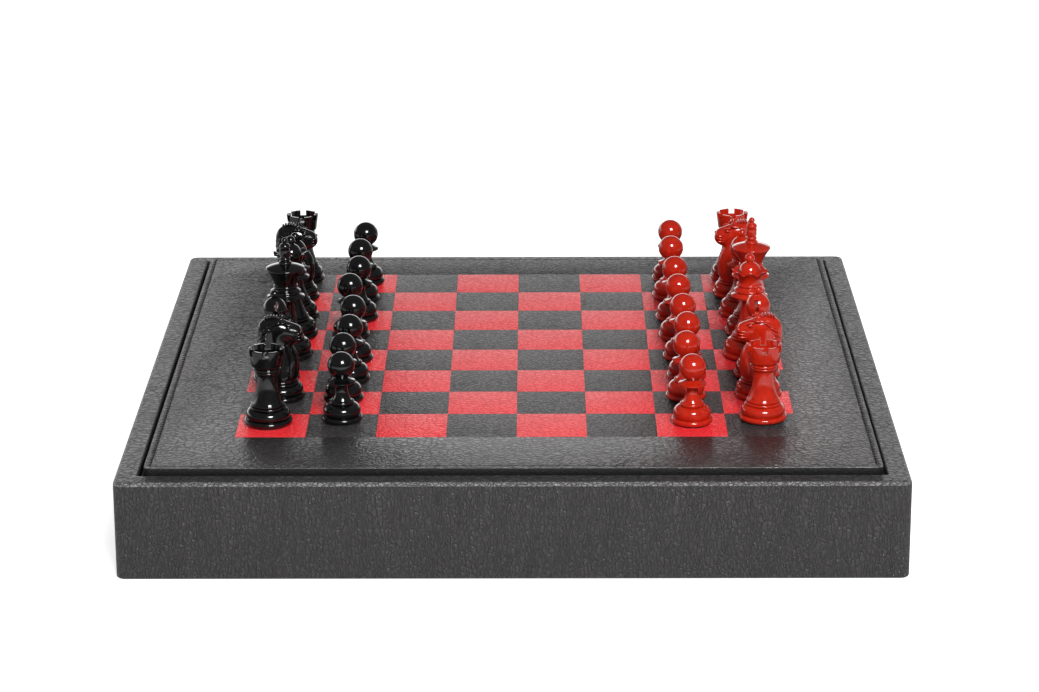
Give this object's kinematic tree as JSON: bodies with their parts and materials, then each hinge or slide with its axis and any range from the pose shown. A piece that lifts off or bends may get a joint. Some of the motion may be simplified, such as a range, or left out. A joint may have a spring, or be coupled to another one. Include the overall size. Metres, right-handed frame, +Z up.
{
  "type": "chess box",
  "caption": "Square leather-covered box with two lined wells, closed by a loose lift-out lid that is a chessboard, with a turned Staunton-pattern set standing on it.",
  "frame": {"origin": "middle of the underside, on the surface the box stands on", "axes": "+Z up; -Y is the front wall seen in the picture; the black pieces stand at -X and the red at +X"},
  "size_m": [0.418, 0.418, 0.1289],
  "materials": {
    "board_wood": "plain board",
    "black_leather": "grained satin hide",
    "red_leather": "grained satin hide",
    "black_suede": "brushed suede",
    "black_lacquer": "high gloss lacquer",
    "red_lacquer": "high gloss lacquer"
  },
  "bodies": {
    "case": {"front_wall": "board_wood", "back_wall": "board_wood", "left_wall": "board_wood", "right_wall": "board_wood", "base_board": "board_wood", "base_cover": "black_leather", "wall_cover": "black_leather", "front_liner": "black_suede", "back_liner": "black_suede", "left_liner": "black_suede", "right_liner": "black_suede", "floor_lining": "black_suede", "divider": "black_suede"},
    "lid": {"lid_board": "board_wood", "lid_cover": "black_leather", "lid_lining": "black_suede", "red_squares": "red_leather", "black_squares": "black_leather"},
    "black_rook_front": {"black_rook_front": "black_lacquer"},
    "black_knight_front": {"black_knight_front_base": "black_lacquer", "black_knight_front_head": "black_lacquer"},
    "black_bishop_front": {"black_bishop_front": "black_lacquer"},
    "black_king": {"black_king": "black_lacquer", "black_king_finial": "black_lacquer"},
    "black_queen": {"black_queen": "black_lacquer"},
    "black_bishop_back": {"black_bishop_back": "black_lacquer"},
    "black_knight_back": {"black_knight_back_base": "black_lacquer", "black_knight_back_head": "black_lacquer"},
    "black_rook_back": {"black_rook_back": "black_lacquer"},
    "black_pawn_1": {"black_pawn_1": "black_lacquer"},
    "black_pawn_2": {"black_pawn_2": "black_lacquer"},
    "black_pawn_3": {"black_pawn_3": "black_lacquer"},
    "black_pawn_4": {"black_pawn_4": "black_lacquer"},
    "black_pawn_5": {"black_pawn_5": "black_lacquer"},
    "black_pawn_6": {"black_pawn_6": "black_lacquer"},
    "black_pawn_7": {"black_pawn_7": "black_lacquer"},
    "black_pawn_8": {"black_pawn_8": "black_lacquer"},
    "red_rook_front": {"red_rook_front": "red_lacquer"},
    "red_knight_front": {"red_knight_front_base": "red_lacquer", "red_knight_front_head": "red_lacquer"},
    "red_bishop_front": {"red_bishop_front": "red_lacquer"},
    "red_queen": {"red_queen": "red_lacquer"},
    "red_king": {"red_king": "red_lacquer", "red_king_finial": "red_lacquer"},
    "red_bishop_back": {"red_bishop_back": "red_lacquer"},
    "red_knight_back": {"red_knight_back_base": "red_lacquer", "red_knight_back_head": "red_lacquer"},
    "red_rook_back": {"red_rook_back": "red_lacquer"},
    "red_pawn_1": {"red_pawn_1": "red_lacquer"},
    "red_pawn_2": {"red_pawn_2": "red_lacquer"},
    "red_pawn_3": {"red_pawn_3": "red_lacquer"},
    "red_pawn_4": {"red_pawn_4": "red_lacquer"},
    "red_pawn_5": {"red_pawn_5": "red_lacquer"},
    "red_pawn_6": {"red_pawn_6": "red_lacquer"},
    "red_pawn_7": {"red_pawn_7": "red_lacquer"},
    "red_pawn_8": {"red_pawn_8": "red_lacquer"}
  },
  "joints": [
    {"name": "lid_lift", "type": "slide", "parent": "case", "child": "lid", "axis": [0, 0, 1], "range_m": [0, 0.09]},
    {"name": "black_rook_front_lift", "type": "slide", "parent": "lid", "child": "black_rook_front", "axis": [0, 0, 1], "range_m": [0, 0.08]},
    {"name": "black_knight_front_lift", "type": "slide", "parent": "lid", "child": "black_knight_front", "axis": [0, 0, 1], "range_m": [0, 0.08]},
    {"name": "black_bishop_front_lift", "type": "slide", "parent": "lid", "child": "black_bishop_front", "axis": [0, 0, 1], "range_m": [0, 0.08]},
    {"name": "black_king_lift", "type": "slide", "parent": "lid", "child": "black_king", "axis": [0, 0, 1], "range_m": [0, 0.08]},
    {"name": "black_queen_lift", "type": "slide", "parent": "lid", "child": "black_queen", "axis": [0, 0, 1], "range_m": [0, 0.08]},
    {"name": "black_bishop_back_lift", "type": "slide", "parent": "lid", "child": "black_bishop_back", "axis": [0, 0, 1], "range_m": [0, 0.08]},
    {"name": "black_knight_back_lift", "type": "slide", "parent": "lid", "child": "black_knight_back", "axis": [0, 0, 1], "range_m": [0, 0.08]},
    {"name": "black_rook_back_lift", "type": "slide", "parent": "lid", "child": "black_rook_back", "axis": [0, 0, 1], "range_m": [0, 0.08]},
    {"name": "black_pawn_1_lift", "type": "slide", "parent": "lid", "child": "black_pawn_1", "axis": [0, 0, 1], "range_m": [0, 0.08]},
    {"name": "black_pawn_2_lift", "type": "slide", "parent": "lid", "child": "black_pawn_2", "axis": [0, 0, 1], "range_m": [0, 0.08]},
    {"name": "black_pawn_3_lift", "type": "slide", "parent": "lid", "child": "black_pawn_3", "axis": [0, 0, 1], "range_m": [0, 0.08]},
    {"name": "black_pawn_4_lift", "type": "slide", "parent": "lid", "child": "black_pawn_4", "axis": [0, 0, 1], "range_m": [0, 0.08]},
    {"name": "black_pawn_5_lift", "type": "slide", "parent": "lid", "child": "black_pawn_5", "axis": [0, 0, 1], "range_m": [0, 0.08]},
    {"name": "black_pawn_6_lift", "type": "slide", "parent": "lid", "child": "black_pawn_6", "axis": [0, 0, 1], "range_m": [0, 0.08]},
    {"name": "black_pawn_7_lift", "type": "slide", "parent": "lid", "child": "black_pawn_7", "axis": [0, 0, 1], "range_m": [0, 0.08]},
    {"name": "black_pawn_8_lift", "type": "slide", "parent": "lid", "child": "black_pawn_8", "axis": [0, 0, 1], "range_m": [0, 0.08]},
    {"name": "red_rook_front_lift", "type": "slide", "parent": "lid", "child": "red_rook_front", "axis": [0, 0, 1], "range_m": [0, 0.08]},
    {"name": "red_knight_front_lift", "type": "slide", "parent": "lid", "child": "red_knight_front", "axis": [0, 0, 1], "range_m": [0, 0.08]},
    {"name": "red_bishop_front_lift", "type": "slide", "parent": "lid", "child": "red_bishop_front", "axis": [0, 0, 1], "range_m": [0, 0.08]},
    {"name": "red_queen_lift", "type": "slide", "parent": "lid", "child": "red_queen", "axis": [0, 0, 1], "range_m": [0, 0.08]},
    {"name": "red_king_lift", "type": "slide", "parent": "lid", "child": "red_king", "axis": [0, 0, 1], "range_m": [0, 0.08]},
    {"name": "red_bishop_back_lift", "type": "slide", "parent": "lid", "child": "red_bishop_back", "axis": [0, 0, 1], "range_m": [0, 0.08]},
    {"name": "red_knight_back_lift", "type": "slide", "parent": "lid", "child": "red_knight_back", "axis": [0, 0, 1], "range_m": [0, 0.08]},
    {"name": "red_rook_back_lift", "type": "slide", "parent": "lid", "child": "red_rook_back", "axis": [0, 0, 1], "range_m": [0, 0.08]},
    {"name": "red_pawn_1_lift", "type": "slide", "parent": "lid", "child": "red_pawn_1", "axis": [0, 0, 1], "range_m": [0, 0.08]},
    {"name": "red_pawn_2_lift", "type": "slide", "parent": "lid", "child": "red_pawn_2", "axis": [0, 0, 1], "range_m": [0, 0.08]},
    {"name": "red_pawn_3_lift", "type": "slide", "parent": "lid", "child": "red_pawn_3", "axis": [0, 0, 1], "range_m": [0, 0.08]},
    {"name": "red_pawn_4_lift", "type": "slide", "parent": "lid", "child": "red_pawn_4", "axis": [0, 0, 1], "range_m": [0, 0.08]},
    {"name": "red_pawn_5_lift", "type": "slide", "parent": "lid", "child": "red_pawn_5", "axis": [0, 0, 1], "range_m": [0, 0.08]},
    {"name": "red_pawn_6_lift", "type": "slide", "parent": "lid", "child": "red_pawn_6", "axis": [0, 0, 1], "range_m": [0, 0.08]},
    {"name": "red_pawn_7_lift", "type": "slide", "parent": "lid", "child": "red_pawn_7", "axis": [0, 0, 1], "range_m": [0, 0.08]},
    {"name": "red_pawn_8_lift", "type": "slide", "parent": "lid", "child": "red_pawn_8", "axis": [0, 0, 1], "range_m": [0, 0.08]}
  ]
}
